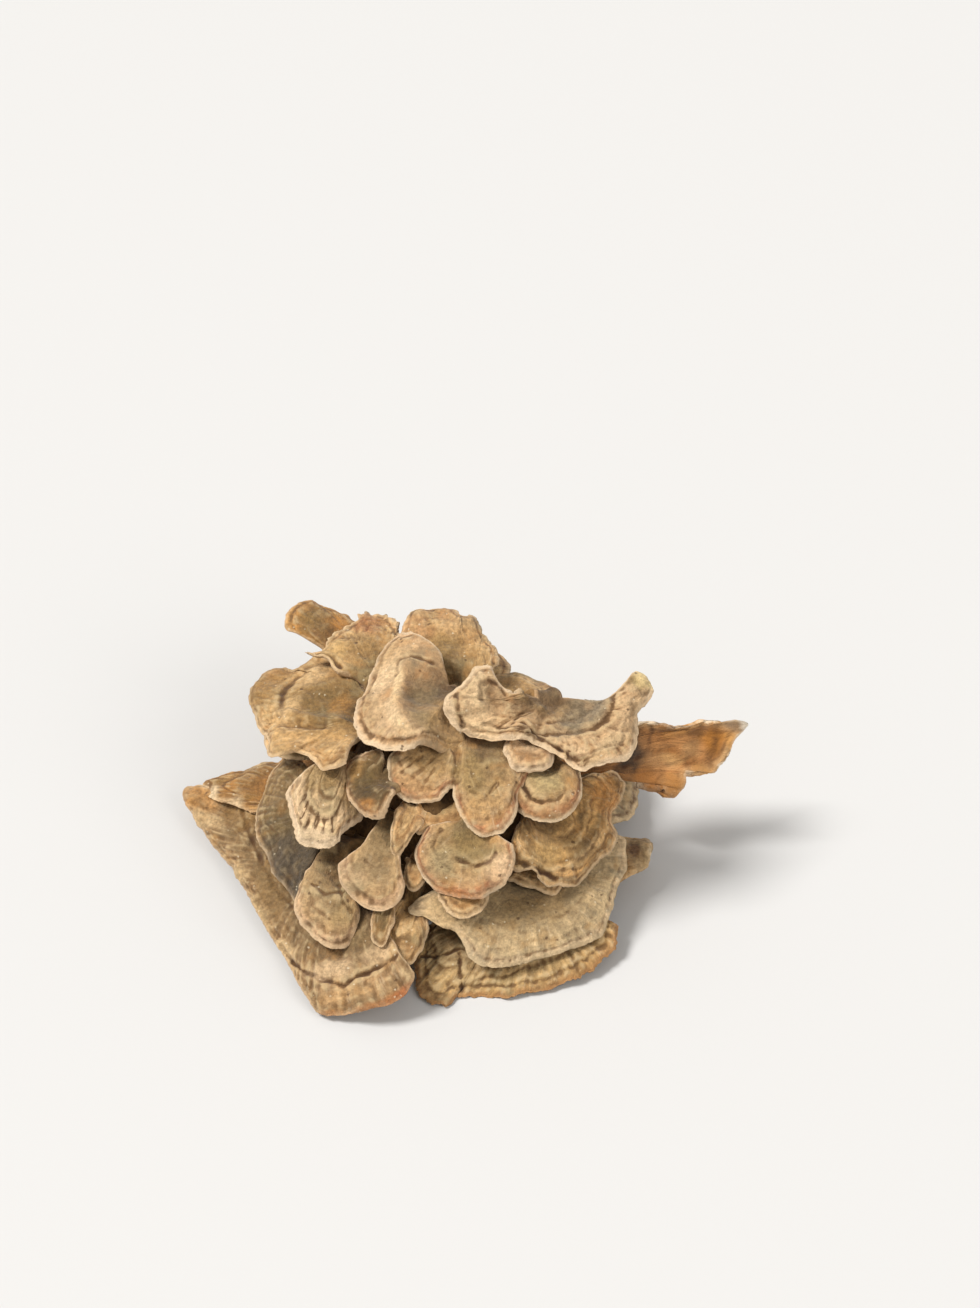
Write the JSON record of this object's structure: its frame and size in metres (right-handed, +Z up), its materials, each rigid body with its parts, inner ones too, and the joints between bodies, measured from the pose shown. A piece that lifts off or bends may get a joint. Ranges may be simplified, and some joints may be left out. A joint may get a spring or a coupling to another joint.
{
  "type": "dried maitake mushroom cluster",
  "caption": "Rosette of thin, zoned tan bracket caps that overlap in tiers on a woody base, cut off flat underneath so that it rests on the cut.",
  "frame": {"origin": "centre of the flat cut under the base", "axes": "+Z up, -Y towards the side with the most caps, which the picture's camera faces, +X to the right of it"},
  "size_m": [0.164, 0.1291, 0.0627],
  "materials": {
    "tan_cap": "dry, matt and faintly velvety, with concentric zones",
    "grey_cap": "dry, matt, greyer and smoother, with faint radial streaks",
    "orange_cap": "dry, matt and silky, orange-brown towards the margin",
    "bark_base": "rough, dark and woody, paler on the cut"
  },
  "bodies": {
    "root": {"back_left_cap": "orange_cap", "back_low_cap": "tan_cap", "back_middle_cap": "tan_cap", "back_right_cap": "tan_cap", "back_upper_cap": "tan_cap", "base": "bark_base", "centre_cap": "tan_cap", "crown_back_cap": "tan_cap", "crown_left_cap": "tan_cap", "crown_side_cap": "tan_cap", "disc_cap": "tan_cap", "front_left_cap": "tan_cap", "front_lower_cap": "orange_cap", "front_right_cap": "grey_cap", "inner_left_cap": "grey_cap", "left_back_cap": "tan_cap", "left_big_cap": "tan_cap", "left_corner_cap": "orange_cap", "left_fan_cap": "tan_cap", "left_low_cap": "orange_cap", "left_round_cap": "grey_cap", "lower_left_cap": "tan_cap", "neck_cap": "tan_cap", "nodule_cap": "tan_cap", "ridge_cap": "tan_cap", "right_back_low_cap": "grey_cap", "right_cap": "tan_cap", "right_strip_cap": "orange_cap", "right_under_cap": "tan_cap", "right_wing_cap": "orange_cap", "ring_cap": "tan_cap", "second_tongue_cap": "tan_cap", "shaded_cap": "tan_cap", "shell_cap": "tan_cap", "small_tongue_cap": "tan_cap", "under_disc_cap": "tan_cap", "upper_tongue_cap": "tan_cap", "wavy_cap": "tan_cap"}
  },
  "joints": []
}
